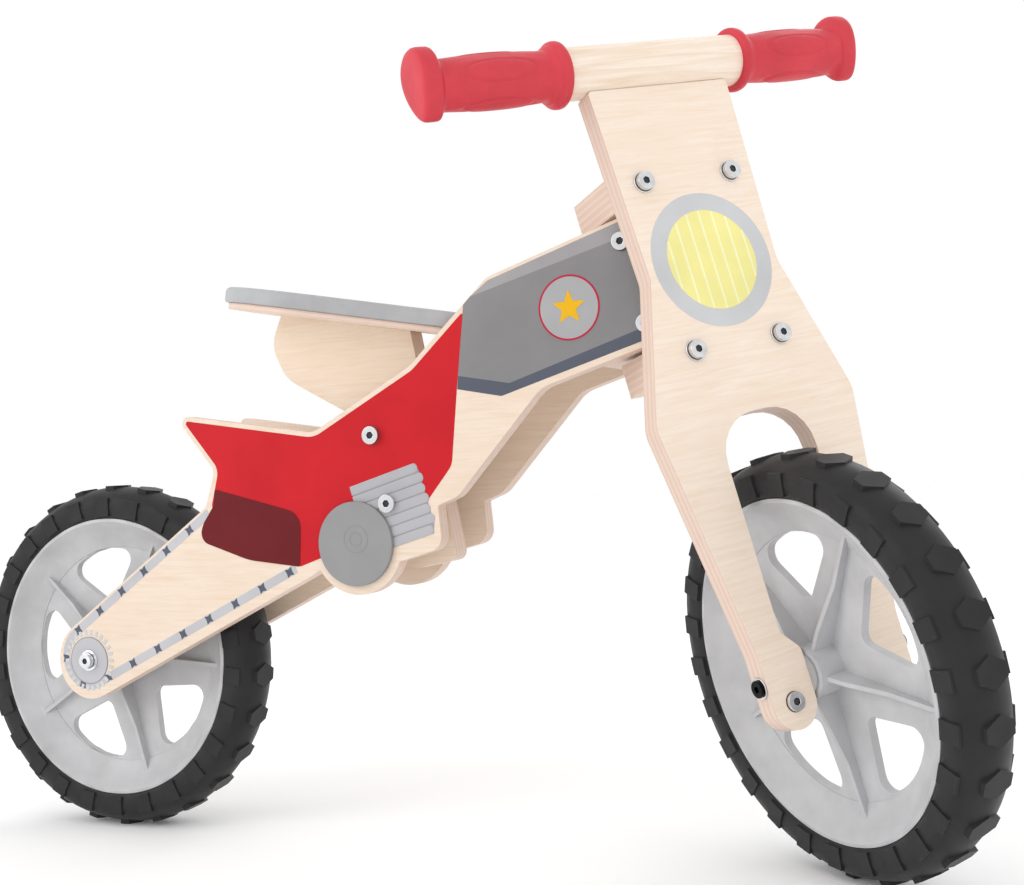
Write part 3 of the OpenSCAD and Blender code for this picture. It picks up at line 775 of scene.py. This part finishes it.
def grip(side, sign):
    steps = 120
    stations = list(GRIP_ENDS[0])
    stations += [(12 + 0.9 * k, 16.5 + 0.5 * math.sin(math.pi * k / 84), 0) for k in range(85)]
    stations += GRIP_ENDS[1]
    bm = bmesh.new()
    rings = []
    for distance, radius, share in stations:
        ring = []
        for k in range(steps):
            angle = 2 * math.pi * k / steps
            r = radius + (pad_height(distance, angle) if 11 < distance < 89 else 0)
            x, y = r * math.sin(angle), r * math.cos(angle)
            if share:
                ex, ey = egg(angle, radius)
                x, y = x + (ex - x) * share, y + (ey - y) * share
            ring.append(bm.verts.new((x, y, distance)))
        rings.append(ring)
    join_rings(bm, rings)
    bm.faces.new(rings[0])
    bm.faces.new(rings[-1])
    centre = middle("handlebar") + fork_left * sign * BAR_HALF * MM
    where = place(centre, fork_ahead, steer_up, fork_left * sign)
    made = piece(f"grip_{side}_sleeve", bm, where, grip_red, "fork", "grip_rubber", sharp=75)
    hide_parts(f"grip_{side}")


grip("right", -1)
grip("left", 1)

# ---------------------------------------------------------------- screw recesses and shadow gaps

# painted shade: dark colours for the socket floors and for the shadow ring round each screw head
recess_shade = painted("recess_shadow", (74, 75, 78), 0.7)
gap_shadow = painted("gap_shadow", (104, 92, 84), 0.7)


def recess(name, spots, where, body, slot="steel"):
    """Painted shade: a dark floor in each hexagon socket and a dark ring round each head, where
    shadow falls: [x, y, face, head, top].
    """
    floors, rings = bmesh.new(), bmesh.new()
    for x, y, face, head, top in spots:
        add_slab(floors, circle(x, y, head * 0.40, 6), top - 2.1, top - 1.3)
        outer, inner = circle(x, y, head + 0.4, 40), circle(x, y, head - 0.6, 40)
        add_band(rings, outer, inner, face, face + 0.2)
    piece(f"socket_shade_discs_{name}", floors, where, recess_shade, body, slot)
    piece(f"head_shadow_rings_{name}", rings, where, gap_shadow, body, slot)


# middles of the heads, on the panels and on the fork plate
HEAD_SCREWS = [(472.1, 284.4), (486.4, 228.2)]
CLAMPS = [(272.8, 166), (283.5, 116)]
FORK_SCREWS = [(35, 333.5), (-35, 333.5), (34.6, 217), (-34.6, 217)]
FOOT_BOLTS = [(40.5, -13.5), (-40.5, -13.5)]
# level each head rests on, its radius and the level of its top
SCREW_HEAD, CLAMP_HEAD, AXLE_HEAD = (44, 6.2, 47.5), (44, 6.6, 48), (45.5, 6, 50)
FORK_HEAD, FOOT_HEAD = (8.7, 6.2, 12.7), (7.5, 6.2, 10.3)
for side, where in (("right", RIGHT), ("left", LEFT)):
    heads = [(*at, *SCREW_HEAD) for at in HEAD_SCREWS]
    heads += [(*at, *CLAMP_HEAD) for at in CLAMPS]
    heads += [(0, 0, *AXLE_HEAD)]
    recess(side, heads, where, "frame")
heads = [(*at, *FORK_HEAD) for at in FORK_SCREWS]
heads += [(*at, *FOOT_HEAD) for at in FOOT_BOLTS]
recess("fork", heads, PLATE, "fork")

# ---------------------------------------------------------------- camera, lights, floor


def add_camera():
    turn, rise, roll = math.radians(24.46), math.radians(-1.231), math.radians(-2.98)
    back = Vector((math.sin(turn) * math.cos(rise), -math.cos(turn) * math.cos(rise),
                   math.sin(rise)))
    level = (-back).cross(Z).normalized()
    above = level.cross(-back)
    right = math.cos(roll) * level + math.sin(roll) * above
    up = -math.sin(roll) * level + math.cos(roll) * above
    data = bpy.data.cameras.new("camera")
    data.sensor_width = 36
    data.lens = 48.11
    data.clip_start = 0.05
    data.clip_end = 50
    camera = bpy.data.objects.new("camera", data)
    bpy.context.scene.collection.objects.link(camera)
    camera.matrix_world = place(rear_hub + Vector((0.7771, -0.9077, 0.1341)), right, up, back)
    bpy.context.scene.camera = camera


def add_light(name, where, target, size, power):
    data = bpy.data.lights.new(name, "AREA")
    data.shape = "DISK"
    data.size = size
    data.energy = power
    lamp = bpy.data.objects.new(name, data)
    bpy.context.scene.collection.objects.link(lamp)
    lamp.location = where
    lamp.rotation_mode = "QUATERNION"
    lamp.rotation_quaternion = (Vector(target) - Vector(where)).to_track_quat("-Z", "Y")


def add_stage():
    mesh = bpy.data.meshes.new("floor")
    half = 12
    mesh.from_pydata([(-half, -half, 0), (half, -half, 0), (half, half, 0), (-half, half, 0)],
                     [], [(0, 1, 2, 3)])
    floor = bpy.data.objects.new("floor", mesh)
    bpy.context.scene.collection.objects.link(floor)
    mat, tree, shader = new_material("pale_floor")
    shader.inputs["Base Color"].default_value = (1, 1, 1, 1)
    shader.inputs["Roughness"].default_value = 0.9
    mesh.materials.append(mat)
    world = bpy.data.worlds.new("studio")
    world.use_nodes = True
    world.node_tree.nodes["Background"].inputs[0].default_value = (1, 1, 1, 1)
    world.node_tree.nodes["Background"].inputs[1].default_value = 1.0
    bpy.context.scene.world = world
    bpy.context.scene.view_settings.view_transform = "Standard"
    bpy.context.scene.view_settings.look = "None"


add_camera()
add_stage()
add_light("key", (-1.4, -1.5, 1.1), (0, 0, 0.3), 1.4, 11)
add_light("fill", (1.3, -1.5, 1.3), (0, 0, 0.3), 1.4, 3)
add_light("back", (0.4, 1.8, 1.5), (0, 0, 0.3), 1.4, 5)
